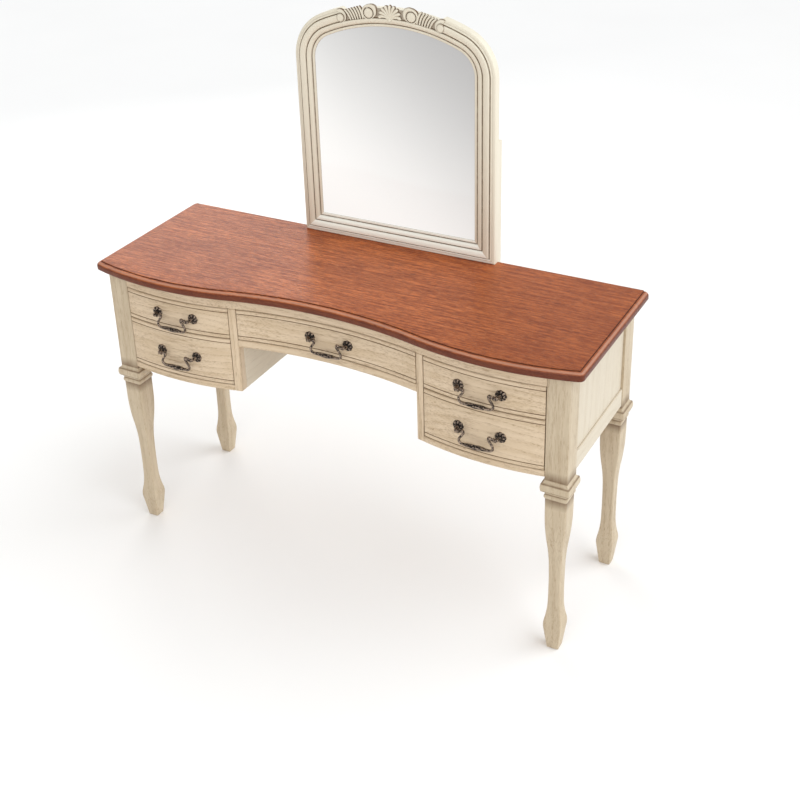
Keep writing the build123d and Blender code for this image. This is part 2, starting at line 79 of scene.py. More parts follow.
TOP_HALF = TOP_HIGH.x
TABLE_H = TOP_HIGH.z
BACK_Y = TOP_HIGH.y
CROWN_Y = FRONT_LOW.y
NOSE = CROWN_Y - TOP_LOW.y
ARCH_TOP = CAD_BOX[1].z
MIRROR_Y = BACK_Y - FRAME_DEPTH
TURN_SIN = BULGE_X / (HOLLOW_R + BULGE_R)
HOLLOW_CY = CROWN_Y + BULGE_R - sqrt((HOLLOW_R + BULGE_R) ** 2 - BULGE_X ** 2)
BULGE_CY = CROWN_Y + BULGE_R


def front_y(x, off=0.0):
    """The serpentine front in plan, moved forward by off."""
    x = abs(x)
    if x <= (HOLLOW_R - off) * TURN_SIN:
        return HOLLOW_CY + sqrt((HOLLOW_R - off) ** 2 - x * x)
    return BULGE_CY - sqrt((BULGE_R + off) ** 2 - (x - BULGE_X) ** 2)


# ---- Shader building -------------------------------------------------------------------
def node(tree, kind, values=None, **settings):
    """A new shader node. A value that is a socket is linked, any other is set."""
    made = tree.nodes.new("ShaderNode" + kind)
    for key, value in settings.items():
        setattr(made, key, value)
    for key, value in (values or {}).items():
        if isinstance(value, bpy.types.NodeSocket):
            tree.links.new(value, made.inputs[key])
        else:
            made.inputs[key].default_value = value
    return made


def calc(tree, operation, a, b=0.0):
    return node(tree, "Math", {0: a, 1: b}, operation=operation).outputs[0]


def mix(tree, factor, a, b, blend="MIX"):
    made = node(tree, "Mix", {0: factor, 6: a, 7: b}, data_type="RGBA", blend_type=blend)
    return made.outputs[2]


def fade(tree, value, low, high, start=0.0, end=1.0):
    """Smooth step of value between low and high."""
    sockets = {"Value": value, "From Min": low, "From Max": high, "To Min": start, "To Max": end}
    return node(tree, "MapRange", sockets, interpolation_type="SMOOTHSTEP").outputs[0]


def noise(tree, where, scale, detail=2.0, roughness=0.5):
    values = {"Vector": where, "Scale": scale, "Detail": detail, "Roughness": roughness}
    return node(tree, "TexNoise", values).outputs[0]


def vector(tree, operation, a, b):
    return node(tree, "VectorMath", {0: a, 1: b}, operation=operation).outputs[0]


def rgb(red, green, blue):
    """Linear colour from the usual 0 to 255 values."""
    def linear(value):
        value /= 255.0
        return value / 12.92 if value <= 0.04045 else ((value + 0.055) / 1.055) ** 2.4
    return (linear(red), linear(green), linear(blue), 1.0)


def material(name, **sockets):
    """An empty Principled material: (material, its tree, its shader)."""
    made = bpy.data.materials.new(name)
    made.use_nodes = True
    tree = made.node_tree
    tree.nodes.clear()
    shader = node(tree, "BsdfPrincipled", {key.replace("_", " "): v for key, v in sockets.items()})
    node(tree, "OutputMaterial", {"Surface": shader.outputs[0]})
    return made, tree, shader


def finish_shader(tree, shader, colour, roughness, height, depth):
    """Links colour, roughness and a bump of the given depth in metres."""
    bump = node(tree, "Bump", {"Height": height, "Distance": depth, "Strength": 1.0})
    tree.links.new(colour, shader.inputs["Base Color"])
    tree.links.new(roughness, shader.inputs["Roughness"])
    tree.links.new(bump.outputs[0], shader.inputs["Normal"])


def along(axis, lengthwise, across):
    """Scale vector that is lengthwise on one axis and across on the other two."""
    scale = [across] * 3
    scale["XYZ".index(axis)] = lengthwise
    return scale


def timber(tree, pith=None):
    """Place in the timber: each board is cut from its own part of the log, unless the pith is given."""
    where = node(tree, "TexCoord").outputs["Object"]
    if pith is not None:
        return vector(tree, "SUBTRACT", where, pith)
    pick = node(tree, "ObjectInfo").outputs["Random"]
    steps = {axis: calc(tree, "MULTIPLY", pick, reach) for axis, reach in enumerate((7.0, 3.7, 5.3))}
    return vector(tree, "ADD", where, node(tree, "CombineXYZ", steps).outputs[0])


def growth(tree, where, axis, gap):
    """Growth rings round an axis, gap apart: 0 in the pale wood, rising to 1 at each dark edge."""
    values = {
        "Vector": vector(tree, "MULTIPLY", where, along(axis, 0.20, 1.0)), "Scale": 0.314 / gap,
        "Distortion": 20.0, "Detail": 3.0, "Detail Scale": 0.20, "Detail Roughness": 0.60,
    }
    wave = node(tree, "TexWave", values, wave_type="RINGS", rings_direction=axis, wave_profile="SAW")
    return wave.outputs[1]


def fibres(tree, where, axis, length, width, low, high):
    """Streaks of about that length and width, in metres: 1 in the streak."""
    stretched = vector(tree, "MULTIPLY", where, along(axis, 1.0 / length, 1.0 / width))
    return fade(tree, noise(tree, stretched, 1.0, 2.0, 0.55), low, high)


def glaze_and_corner_shade(tree, reach, most_corner_shade):
    """Brown glaze painted into the grooves, and painted shade, from ambient occlusion, in inside corners
    within reach.
    """
    painted = node(tree, "Attribute", attribute_name="glaze").outputs["Fac"]
    # Painted shade: inside corners darken where little open sky is seen.
    open_sky = node(tree, "AmbientOcclusion", {"Distance": reach}, samples=8).outputs["AO"]
    return calc(tree, "MAXIMUM", painted, fade(tree, open_sky, 0.50, 0.10, 0.0, most_corner_shade))


def glazed_paint(name, axis, light, shade, grain, corners=0.55):
    """Antique cream paint over open-grained oak, with brown glaze left in its grooves and painted shade in
    its inside corners.
    """
    made, tree, shader = material(name, Specular_IOR_Level=0.35)
    where = timber(tree)
    tone = noise(tree, vector(tree, "MULTIPLY", where, along(axis, 5.0, 60.0)), 1.0, 4.0, 0.62)
    cloud = noise(tree, where, 8.0, 3.0)
    rings = growth(tree, where, axis, 0.015)
    open_grain = fade(tree, cloud, 0.34, 0.60, 0.15, 1.0)
    pores = calc(tree, "MULTIPLY", fibres(tree, where, axis, 0.032, 0.0014, 0.53, 0.66), open_grain)
    ticks = calc(tree, "MULTIPLY", fibres(tree, where, axis, 0.013, 0.0010, 0.54, 0.64),
                 fade(tree, rings, 0.30, 1.0))
    colour = mix(tree, fade(tree, tone, 0.36, 0.68, 0.0, 0.15 + 0.5 * grain), light, shade)
    late_wood = calc(tree, "MULTIPLY", fade(tree, rings, 0.55, 1.0), 0.16 * grain)
    colour = mix(tree, late_wood, colour, rgb(170, 142, 106))
    colour = mix(tree, calc(tree, "MULTIPLY", pores, 0.52 * grain), colour, rgb(146, 116, 82))
    colour = mix(tree, calc(tree, "MULTIPLY", ticks, 0.50 * grain), colour, rgb(134, 104, 70))
    patches = fade(tree, noise(tree, where, 60.0, 3.0), 0.25, 0.6, 0.72, 1.0)
    # Brown glaze in the grooves, and painted shade in inside corners, as dark as corners allows, darken the
    # paint.
    glaze = calc(tree, "MULTIPLY", glaze_and_corner_shade(tree, 0.0035, corners), patches)
    colour = mix(tree, glaze, colour, rgb(104, 76, 48))
    height = calc(tree, "SUBTRACT", calc(tree, "MULTIPLY", tone, 0.3), calc(tree, "MAXIMUM", pores, ticks))
    finish_shader(tree, shader, colour, fade(tree, tone, 0.2, 0.8, 0.44, 0.56), height, 0.00018 * grain)
    return made


def stained_oak(name):
    """Red-brown stained oak under a satin lacquer, grain along the table."""
    made, tree, shader = material(name, Coat_Weight=0.08, Coat_Roughness=0.20, Specular_IOR_Level=0.20)
    where = timber(tree, pith=(0.35, 0.03, TABLE_H - 0.16))
    tone = noise(tree, vector(tree, "MULTIPLY", where, along("X", 14.0, 180.0)), 1.0, 5.0, 0.70)
    cloud = noise(tree, vector(tree, "MULTIPLY", where, along("X", 1.0, 2.5)), 2.6, 4.0, 0.6)
    rings = growth(tree, where, "X", 0.011)
    pores = fibres(tree, where, "X", 0.017, 0.0013, 0.49, 0.60)
    flecks = fibres(tree, where, "X", 0.018, 0.0017, 0.53, 0.68)
    colour = mix(tree, fade(tree, tone, 0.36, 0.66), rgb(209, 116, 59), rgb(139, 65, 32))
    colour = mix(tree, fade(tree, cloud, 0.38, 0.70, 0.0, 0.45), colour, rgb(142, 68, 34))
    colour = mix(tree, calc(tree, "MULTIPLY", fade(tree, rings, 0.50, 1.0), 0.20), colour, rgb(118, 50, 24))
    colour = mix(tree, calc(tree, "MULTIPLY", pores, 0.62), colour, rgb(100, 47, 27))
    colour = mix(tree, calc(tree, "MULTIPLY", flecks, 0.42), colour, rgb(222, 140, 84))
    reach, _, level = node(tree, "SeparateXYZ", {0: node(tree, "TexCoord").outputs["Object"]}).outputs
    # Painted shade: the top gets darker towards its right end.
    colour = mix(tree, fade(tree, reach, -0.1, 0.6, 0.0, 0.30), colour, rgb(128, 64, 38))
    # Painted shade: the lower part of the nose is darkened.
    nose_painted_shade = fade(tree, level, TABLE_H - 0.0045, TABLE_H - 0.0085, 0.0, 0.80)
    colour = mix(tree, nose_painted_shade, colour, rgb(84, 38, 24))
    # Painted highlight: a paler band along the upper curve of the nose.
    wear_and_highlight = calc(tree, "MINIMUM", fade(tree, level, TABLE_H - 0.0062, TABLE_H - 0.0042, 0.0, 0.6),
                  fade(tree, level, TABLE_H - 0.0021, TABLE_H - 0.0027, 0.0, 0.6))
    colour = mix(tree, wear_and_highlight, colour, rgb(196, 148, 124))
    # Glaze in the top's grooves and painted shade in its inside corners, darkened nearly to black.
    colour = mix(tree, calc(tree, "MULTIPLY", glaze_and_corner_shade(tree, 0.004, 0.5), 0.9), colour, rgb(58, 26, 15))
    height = calc(tree, "SUBTRACT", calc(tree, "MULTIPLY", tone, 0.4), pores)
    finish_shader(tree, shader, colour, fade(tree, tone, 0.2, 0.8, 0.32, 0.46), height, 0.00016)
    return made


def bare_wood(name, axis):
    """Unfinished pale hardwood of the drawer boxes, runners and cleats."""
    made, tree, shader = material(name, Specular_IOR_Level=0.3)
    where = timber(tree)
    rings = growth(tree, where, axis, 0.009)
    tone = noise(tree, vector(tree, "MULTIPLY", where, along(axis, 2.0, 30.0)), 1.0, 4.0)
    pores = fibres(tree, where, axis, 0.03, 0.0014, 0.54, 0.7)
    colour = mix(tree, fade(tree, tone, 0.3, 0.7), rgb(214, 184, 140), rgb(190, 154, 108))
    colour = mix(tree, calc(tree, "MULTIPLY", fade(tree, rings, 0.5, 1.0), 0.35), colour, rgb(164, 122, 78))
    colour = mix(tree, calc(tree, "MULTIPLY", pores, 0.3), colour, rgb(130, 92, 58))
    finish_shader(tree, shader, colour, fade(tree, tone, 0.2, 0.8, 0.60, 0.75), tone, 0.0002)
    return made


def fibre_board(name):
    """Thin hardboard: brown, finely speckled with fibres."""
    made, tree, shader = material(name, Specular_IOR_Level=0.25)
    where = node(tree, "TexCoord").outputs["Object"]
    specks = noise(tree, vector(tree, "MULTIPLY", where, (420.0, 900.0, 420.0)), 1.0, 3.0, 0.7)
    cloud = noise(tree, where, 14.0, 3.0)
    colour = mix(tree, fade(tree, specks, 0.35, 0.65), rgb(170, 132, 92), rgb(128, 92, 60))
    colour = mix(tree, fade(tree, cloud, 0.3, 0.7, 0.0, 0.4), colour, rgb(150, 112, 76))
    finish_shader(tree, shader, colour, fade(tree, specks, 0.3, 0.7, 0.62, 0.8), specks, 0.0002)
    return made


def aged_bronze(name):
    """Cast bronze: nearly black in its hollows, worn paler brown on its high parts."""
    made, tree, shader = material(name, Metallic=0.85, Specular_IOR_Level=0.5)
    where = node(tree, "TexCoord").outputs["Object"]
    grime = noise(tree, where, 260.0, 4.0, 0.65)
    hollow = node(tree, "Attribute", attribute_name="glaze").outputs["Fac"]
    wear_and_highlight = calc(tree, "SUBTRACT", fade(tree, grime, 0.35, 0.7), hollow)
    colour = mix(tree, fade(tree, wear_and_highlight, 0.0, 0.7), rgb(42, 37, 33), rgb(156, 137, 121))
    rough = fade(tree, grime, 0.2, 0.8, 0.22, 0.40)
    finish_shader(tree, shader, colour, rough, grime, 0.00012)
    return made


def zinc_steel(name):
    """Yellow-passivated screw steel with fine turning marks."""
    made, tree, shader = material(name, Metallic=0.95)
    where = node(tree, "TexCoord").outputs["Object"]
    grime = noise(tree, where, 420.0, 3.0)
    colour = mix(tree, fade(tree, grime, 0.35, 0.7), rgb(190, 180, 150), rgb(140, 128, 104))
    finish_shader(tree, shader, colour, fade(tree, grime, 0.2, 0.8, 0.28, 0.45), grime, 0.00005)
    return made


def mirror_glass(name):
    """Silvered glass drawn as a glowing panel: a painted reflection of a bright studio, from white, low
    left, to grey, high right.
    """
    made, tree, shader = material(name, Specular_IOR_Level=0.25, Emission_Strength=0.71)
    where = node(tree, "TexCoord").outputs["Object"]
    parts = node(tree, "SeparateXYZ", {0: where}).outputs
    slant = calc(tree, "ADD", calc(tree, "MULTIPLY", parts[0], 0.70), parts[2])
    haze = noise(tree, where, 4.0, 2.0)
    slant = calc(tree, "ADD", slant, calc(tree, "MULTIPLY", haze, 0.05))
    painted_reflection = fade(tree, slant, 0.73, 1.41)
    # Painted reflection, given off as light: the glass glows white low left and grey high right.
    painted_glow = mix(tree, painted_reflection, rgb(255, 255, 253), rgb(186, 185, 184))
    tree.links.new(painted_glow, shader.inputs["Emission Color"])
    colour = mix(tree, painted_reflection, rgb(160, 160, 158), rgb(114, 114, 114))
    finish_shader(tree, shader, colour, fade(tree, haze, 0.0, 1.0, 0.05, 0.08), haze, 0.00001)
    return made


def studio_floor(name):
    """Near-white seamless floor, very faintly clouded."""
    made, tree, shader = material(name, Specular_IOR_Level=0.1)
    where = node(tree, "TexCoord").outputs["Object"]
    cloud = noise(tree, where, 1.5, 2.0)
    colour = mix(tree, cloud, rgb(248, 246, 243), rgb(252, 250, 247))
    finish_shader(tree, shader, colour, fade(tree, cloud, 0.0, 1.0, 0.85, 0.9), cloud, 0.0001)
    return made


CREAM_LIGHT, CREAM_SHADE = rgb(218, 196, 167), rgb(200, 176, 143)
CREAM = {axis: glazed_paint(f"cream_paint_{axis}", axis, CREAM_LIGHT, CREAM_SHADE, 1.0) for axis in "XZ"}
SIDE_LIGHT, SIDE_SHADE = rgb(213, 201, 180), rgb(205, 191, 167)
CREAM_SIDE = {axis: glazed_paint(f"cream_side_{axis}", axis, SIDE_LIGHT, SIDE_SHADE, 0.3) for axis in "YZ"}
# The legs' paint is a darker copy of the cream paint: painted shade that offsets the light the floor throws
# on them.
CREAM_LEG_SHADED = glazed_paint("cream_paint_leg_shaded", "Z", rgb(203, 186, 159), rgb(186, 167, 139), 0.8)
FRAME_PAINT = glazed_paint("frame_paint", "Z", rgb(231, 223, 203), rgb(224, 214, 190), 0.1, corners=0.8)
# The bottom rail's paint is a paler copy of the frame paint, with less corner shade: painted light that
# offsets the shade and red light it gets beside the top.
FRAME_LOW_PAINTED_LIGHT = glazed_paint("frame_paint_low_painted_light", "X", rgb(254, 254, 242), rgb(252, 250, 234), 0.1,
                         corners=0.3)
BARE = bare_wood("bare_wood", "Y")
OAK_TOP = stained_oak("stained_oak")
FIBRE = fibre_board("fibre_board")
BRONZE = aged_bronze("aged_bronze")
ZINC = zinc_steel("zinc_steel")
GLASS = mirror_glass("mirror_glass")


# ---- Mesh building ---------------------------------------------------------------------
class Shape:
    """Vertices and faces of one piece, with the glaze that gathers at each vertex."""

    def __init__(self):
        self.points = []
        self.glaze = []
        self.faces = []

    def ring(self, points):
        """Adds points given as (x, y, z, glaze)."""
        first = len(self.points)
        for x, y, z, glaze in points:
            self.points.append((x, y, z))
            self.glaze.append(glaze)
        return list(range(first, len(self.points)))

    def skin(self, rings, closed=True):
        """Quads between neighbouring rings."""
        for low, high in zip(rings, rings[1:]):
            count = len(low)
            for i in range(count if closed else count - 1):
                j = (i + 1) % count
                self.faces.append((low[i], low[j], high[j], high[i]))

    def cap(self, rings):
        """Closes the first and the last ring."""
        self.faces.append(tuple(reversed(rings[0])))
        self.faces.append(tuple(rings[-1]))

    def tube(self, sections):
        """A closed body through its sections."""
        rings = [self.ring(section) for section in sections]
        self.skin(rings)
        self.cap(rings)

    def mirrored(self):
        """Adds a mirror image of everything so far, across x = 0."""
        count = len(self.points)
        self.points += [(-x, y, z) for x, y, z in self.points]
        self.glaze += self.glaze
        self.faces += [tuple(count + i for i in reversed(face)) for face in self.faces]


CREASE = 34.0               # degrees between two faces from which their edge stays crisp


def dress(mesh, sharp):
    """Smooth faces, with creases where two faces meet more sharply than the angle; flat ones for None."""
    bm = bmesh.new()
    bm.from_mesh(mesh)
    bmesh.ops.remove_doubles(bm, verts=bm.verts, dist=0.000002)
    bmesh.ops.recalc_face_normals(bm, faces=bm.faces)
    for face in bm.faces:
        face.smooth = sharp is not None
    for edge in bm.edges:
        meet = edge.calc_face_angle() if len(edge.link_faces) == 2 else 0.0
        edge.smooth = sharp is None or meet < radians(sharp)
    bm.to_mesh(mesh)
    bm.free()


def place(mesh, name, body, finish, nodes):
    """A mesh as a piece on its body, in place of the named CAD nodes."""
    made = bpy.data.objects.new(name, mesh)
    bpy.context.scene.collection.objects.link(made)
    made.data.materials.append(finish)
    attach(made, body)
    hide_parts(*nodes)
    return made


def make(shape, name, body, finish, nodes, sharp=CREASE):
    """A shape as a piece, with its glaze."""
    mesh = bpy.data.meshes.new(name)
    mesh.from_pydata(shape.points, [], shape.faces)
    layer = mesh.attributes.new("glaze", "FLOAT", "POINT")
    layer.data.foreach_set("value", shape.glaze)
    dress(mesh, sharp)
    return place(mesh, name, body, finish, nodes)


def eased(node_name, body, finish, ease=0.0008, name=None, sharp=None):
    """A CAD node's own solids, with their sharp edges eased."""
    mesh = bpy.data.meshes.new(node_name + "_eased")
    bm = bmesh.new()
    bm.from_mesh(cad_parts[node_name].data)
    bmesh.ops.remove_doubles(bm, verts=bm.verts, dist=0.00001)
    bmesh.ops.dissolve_limit(bm, angle_limit=radians(0.5), verts=bm.verts, edges=bm.edges)
    edges = [e for e in bm.edges if len(e.link_faces) == 2 and e.calc_face_angle() > radians(35)]
    bmesh.ops.bevel(bm, geom=edges, offset=ease, segments=2, profile=0.5, affect="EDGES",
                    clamp_overlap=True)
    bm.to_mesh(mesh)
    bm.free()
    dress(mesh, sharp)
    return place(mesh, name or node_name + "_board", body, finish, [node_name])


def arc(start, mid, end, steps):
    """Points after start, up to end, on the circle through three points."""
    (x1, y1), (x2, y2), (x3, y3) = start, mid, end
    a, b, c = 2 * (x2 - x1), 2 * (y2 - y1), x2 * x2 + y2 * y2 - x1 * x1 - y1 * y1
    d, e, f = 2 * (x3 - x1), 2 * (y3 - y1), x3 * x3 + y3 * y3 - x1 * x1 - y1 * y1
    cx, cy = (c * e - b * f) / (a * e - b * d), (a * f - c * d) / (a * e - b * d)
    radius = hypot(x1 - cx, y1 - cy)
    first, middle, last = (atan2(y - cy, x - cx) for x, y in (start, mid, end))
    turn = (last - first) % (2 * pi)
    if (middle - first) % (2 * pi) > turn:
        turn -= 2 * pi
    angles = [first + turn * k / steps for k in range(1, steps + 1)]
    return [(cx + radius * cos(t), cy + radius * sin(t)) for t in angles]


def even(start, end, count):
    """Stations that cut start to end into count equal spans."""
    return [start + (end - start) * k / count for k in range(count + 1)]


def spread(start, end, step):
    """Even stations from start to end, no further apart than step."""
    return even(start, end, max(1, ceil(abs(end - start) / step)))


def smooth(t):
    """Smooth step from 0 to 1."""
    return t * t * (3 - 2 * t)


def blend(first, second, part):
    """Values part of the way from one list to another."""
    return [a + (b - a) * part for a, b in zip(first, second)]


# ---- Table top -------------------------------------------------------------------------
def top_outline(inset):
    """Plan of the top moved in along its front and sides, from back right to back left."""
    half, bulge = TOP_HALF - inset, BULGE_R + NOSE - inset
    radius = max(CORNER_R - inset, 0.0006)
    cx = half - radius
    cy = BULGE_CY - sqrt((bulge - radius) ** 2 - (cx - BULGE_X) ** 2)
    last = atan2(cy - BULGE_CY, cx - BULGE_X)
    side = [(half, y) for y in even(BACK_Y, cy, 8)[:-1]]
    corner = [(cx + radius * cos(last * k / 6), cy + radius * sin(last * k / 6)) for k in range(7)]
    join_x = corner[-1][0]
    front = [(x, front_y(x, NOSE - inset)) for x in even(join_x, 0.0, 48)[1:]]
    right = side + corner + front
    return right + [(-x, y) for x, y in reversed(right[:-1])]


def table_top():
    """Profile from the underside round the nose to the raised field: inset, height, glaze."""
    profile = [(60.0, 0.0, 0.0), (6.0, 0.0, 0.0)]
    profile += [(x, z, 0.0) for x, z in arc((5.0, 0.0), (1.46, 1.46), (0.0, 5.0), 4)]
    profile += [(0.0, 9.5, 0.0), (0.0, 11.0, 0.0)]
    profile += [(x, z, 0.0) for x, z in arc((0.0, 11.0), (2.6, 17.2), (8.6, 20.0), 8)]
    profile += [(9.6, 20.0, 0.5), (10.6, 19.6, 1.0), (11.1, 19.9, 1.0), (11.4, 21.2, 0.55),
                (12.2, 21.9, 0.1), (13.4, 22.0, 0.0), (60.0, 22.0, 0.0)]
    scale = (TABLE_H - TOP_LOW.z) / profile[-1][1]
    shape = Shape()
    rings = []
    for inset, height, glaze in profile:
        points = top_outline(inset * MM)
        rings.append(shape.ring([(x, y, TOP_LOW.z + height * scale, glaze) for x, y in points]))
    shape.skin(rings, closed=False)
    shape.cap(rings)
    shape.faces.append(tuple([ring[0] for ring in rings] + [ring[-1] for ring in reversed(rings)]))
    make(shape, "moulded_top", "table", OAK_TOP, ["table_top"])


# ---- Legs ------------------------------------------------------------------------------
# Half width and height in millimetres: lines, and arcs given by a middle point and an end.
LEG = [
    ((13.5, 0),),
    ((20.0, 54),),
    ((20.9, 66), (19.6, 78)),
    ((15.6, 103), (14.0, 132)),
    ((13.7, 180), (14.4, 228)),
    ((15.9, 256), (18.9, 284)),
    ((22.0, 318), (23.4, 352)),
    ((23.6, 399),),
    ((26.0, 405), (24.0, 411)),
    ((26.2, 417), (31.0, 420)),
    ((32.4, 429), (31.0, 438)),
    ((26.8, 441), (25.0, 447)),
    ((25.0, 698),),
]
LEG_LINES = (399.0, 411.0, 420.0, 438.0, 447.0)     # creases where glaze stays
COLLAR_FOOT = 412.0         # above these heights the leg's corners are crisper
POST_FOOT = 445.0


def square_ring(x, y, half, z, radius, glaze):
    """A square with rounded corners, centred at (x, y)."""
    inner = half - radius
    points = []
    for quarter in range(4):
        first = quarter * pi / 2
        cx = inner * (1 if quarter in (0, 3) else -1)
        cy = inner * (1 if quarter in (0, 1) else -1)
        for step in range(5):
            angle = first + step * pi / 8
            points.append((x + cx + radius * cos(angle), y + cy + radius * sin(angle), z, glaze))
    return points


def leg_outline():
    """(Half width, height) up the leg in millimetres, straight runs cut into short spans."""
    points = [LEG[0][0]]
    for step in LEG[1:]:
        if len(step) == 2:
            points += arc(points[-1], step[0], step[1], 7)
        else:
            start, end = points[-1], step[0]
            points += [blend(start, end, t) for t in spread(0.0, 1.0, 25.0 / (end[1] - start[1]))[1:]]
    return points


def leg(name):
    """Foot, shaft, collar and post in one, centred on its CAD node."""
    low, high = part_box(name)
    x, y = (low.x + high.x) / 2, (low.y + high.y) / 2
    shape = Shape()
    sections = []
    for half, z in leg_outline():
        glaze = sum(exp(-((z - line) / 1.3) ** 2) for line in LEG_LINES) * 0.8
        radius = 1.6 if z > POST_FOOT else 2.0 if z > COLLAR_FOOT else 3.4
        if z == 0:      # the foot's lower edge is eased
            sections.append(square_ring(x, y, (half - 1.2) * MM, 0.0, 2.4 * MM, 0.3))
            z = 1.4
        sections.append(square_ring(x, y, half * MM, z * MM, radius * MM, min(glaze, 1.0)))
    shape.tube(sections)
    # The leg takes the darker copy of the cream paint: painted shade.
    make(shape, name.replace("leg", "turned_leg"), "table", CREAM_LEG_SHADED, [name], sharp=24.0)


# ---- Members that follow the serpentine front ------------------------------------------
LEG_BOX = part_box("leg_front_right")
BITE = 0.0001               # the rails end this far inside the posts, so that no gap shows
POST_IN = (LEG_BOX[0].x + LEG_BOX[1].x) / 2 - POST / 2 + BITE
BEAD_INSET = 9.8            # bead groove from a drawer front's edge, in millimetres


def board_section(z0, z1, thick, ease, grooves, inset):
    """Closed outline of a bent board as (depth behind the face, height, glaze)."""
    def corner(depth, height, depth_way, height_way):
        """Rounds one corner, from its side in depth to its side in height."""
        steps = [0.0, 0.32, 1.0]
        return [(depth + depth_way * ease * (1 - a), height + height_way * ease * (1 - b), 0.12)
                for a, b in zip(steps, reversed(steps))]

    near, far = inset, thick - inset
    low, high = z0 + inset, z1 - inset
    outline = corner(near, low, 1, 1)
    outline.append((near, low + ease * 2.0, 0.0))
    for z in grooves:
        for away, depth, glaze in ((-1.5, 0.0, 0.0), (-0.8, 0.25, 0.7), (-0.25, 1.1, 1.0), (0.25, 1.1, 1.0),
                                   (0.8, 0.25, 0.7), (1.5, 0.0, 0.0)):
            outline.append((near + depth * MM, z + away * MM, glaze))
    outline.append((near, high - ease * 2.0, 0.0))
    outline += reversed(corner(near, high, 1, -1))
    outline += corner(far, high, -1, -1)
    outline += reversed(corner(far, low, -1, 1))
    return outline


def bent_board(shape, x0, x1, z0, z1, grooves=(), ease=0.0012, thick=BOARD):
    """Board of even thickness along the serpentine front, its ends eased too."""
    ends = ((0.0, ease), (0.3 * ease, 0.3 * ease), (ease, 0.0))
    stations = [(x0 + away, inset) for away, inset in ends]
    stations += [(x, 0.0) for x in spread(x0 + ease, x1 - ease, 0.011)[1:-1]]
    stations += [(x1 - away, inset) for away, inset in reversed(ends)]
    sections = []
    for x, inset in stations:
        outline = board_section(z0, z1, thick, ease, grooves, inset)
        sections.append([(x, front_y(x, -depth), z, glaze) for depth, z, glaze in outline])
    shape.tube(sections)


def between(node_name, finish, body="table", **more):
    """A painted bent board as long and high as a CAD node, its hidden tenons left off."""
    low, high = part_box(node_name)
    x0, x1 = max(low.x, -POST_IN), min(high.x, POST_IN)
    shape = Shape()
    bent_board(shape, x0, x1, low.z, high.z, **more)
    make(shape, node_name + "_board", body, finish, [node_name])


def front_members():
    """Rails and stiles of the table's front."""
    between("front_top_rail", CREAM["X"])
    between("centre_rail", CREAM["X"])
    for side in ("left", "right"):
        between(f"lower_front_rail_{side}", CREAM["X"])
        between(f"stile_{side}", CREAM["Z"])


def drawer_front(key):
    """Bent front with a bead groove along its upper and lower edge."""
    node_name = f"drawer_front_{key}"
    low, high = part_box(node_name)
    grooves = (low.z + BEAD_INSET * MM, high.z - BEAD_INSET * MM)
    between(node_name, CREAM["X"], f"drawer_{key}", grooves=grooves, ease=0.0014)


# ---- Handles ---------------------------------------------------------------------------
PETALS = 8
ROSETTE_R = 13.0            # millimetres


def rosette(shape, x, z):
    """Petalled dome cast round a post's foot, on the curved drawer face.

    The petals' tips are scalloped; dark lies between them and in the ring round the boss.
    """
    face = front_y(x)
    rings = []
    for reach, height, relief in ((1.0, -0.3, 0.0), (1.0, 0.9, 0.0), (0.93, 2.0, 0.4), (0.78, 3.2, 0.9),
                                  (0.60, 3.9, 0.9), (0.46, 3.7, 0.5), (0.38, 3.3, 0.1), (0.34, 4.2, 0.0),
                                  (0.26, 5.2, 0.0)):
        ring = []
        for k in range(PETALS * 6):
            angle = 2 * pi * k / (PETALS * 6)
            lobe = abs(cos(angle * PETALS / 2)) ** 0.7
            radius = ROSETTE_R * reach * (1.0 - 0.10 * (1 - lobe) * (reach > 0.5))
            lift = height + relief * (lobe - 0.4) * 1.3
            dark = (1 - lobe) * (0.3 < reach < 0.99) + (0.33 < reach < 0.45) * 0.7
            ring.append((x + radius * cos(angle) * MM, face - lift * MM,
                         z + radius * sin(angle) * MM, min(dark, 1)))
        rings.append(ring)
    shape.tube(rings)


def leaf_relief(flutes, span, angle):
    """Factor of the radius, and glaze, where spiral leaves are cut into a rod."""
    first, last, count, depth, turns = flutes
    if not first < span < last:
        return 1.0, 0.0
    run = (span - first) / (last - first)
    wave = cos(count * angle + turns * 2 * pi * abs(run - 0.5))
    swell = sin(pi * run)
    return 1 + depth * swell * wave, max(0.0, -wave) * swell


def curved_rod(shape, route, radii, sides=12, flutes=None, per_span=6):
    """Round rod along a smooth curve through its points, with a radius at each point.

    flutes is (first span, last span, count, depth, turns) of its leaf relief.
    """
    points, sizes, spans = [], [], []
    last = len(route) - 1
    for i in range(last):
        a, b = route[max(i - 1, 0)], route[i]
        c, d = route[i + 1], route[min(i + 2, last)]
        for step in range(per_span + (i == last - 1)):
            t = step / per_span
            points.append(0.5 * ((2 * b) + (c - a) * t + (2 * a - 5 * b + 4 * c - d) * t * t
                                 + (3 * b - a - 3 * c + d) * t ** 3))
            sizes.append(radii[i] + (radii[i + 1] - radii[i]) * smooth(t))
            spans.append(i + t)
    rings = []
    for i, point in enumerate(points):
        way = (points[min(i + 1, len(points) - 1)] - points[max(i - 1, 0)]).normalized()
        side = way.cross(Vector((0.0, 1.0, 0.0))).normalized()
        back = side.cross(way)
        ring = []
        for k in range(sides):
            angle = 2 * pi * k / sides
            factor, glaze = leaf_relief(flutes, spans[i], angle) if flutes else (1.0, 0.0)
            around = back * sin(angle) + side * cos(angle)
            ring.append((*(point + around * (sizes[i] * factor)), glaze))
        rings.append(ring)
    shape.tube(rings)


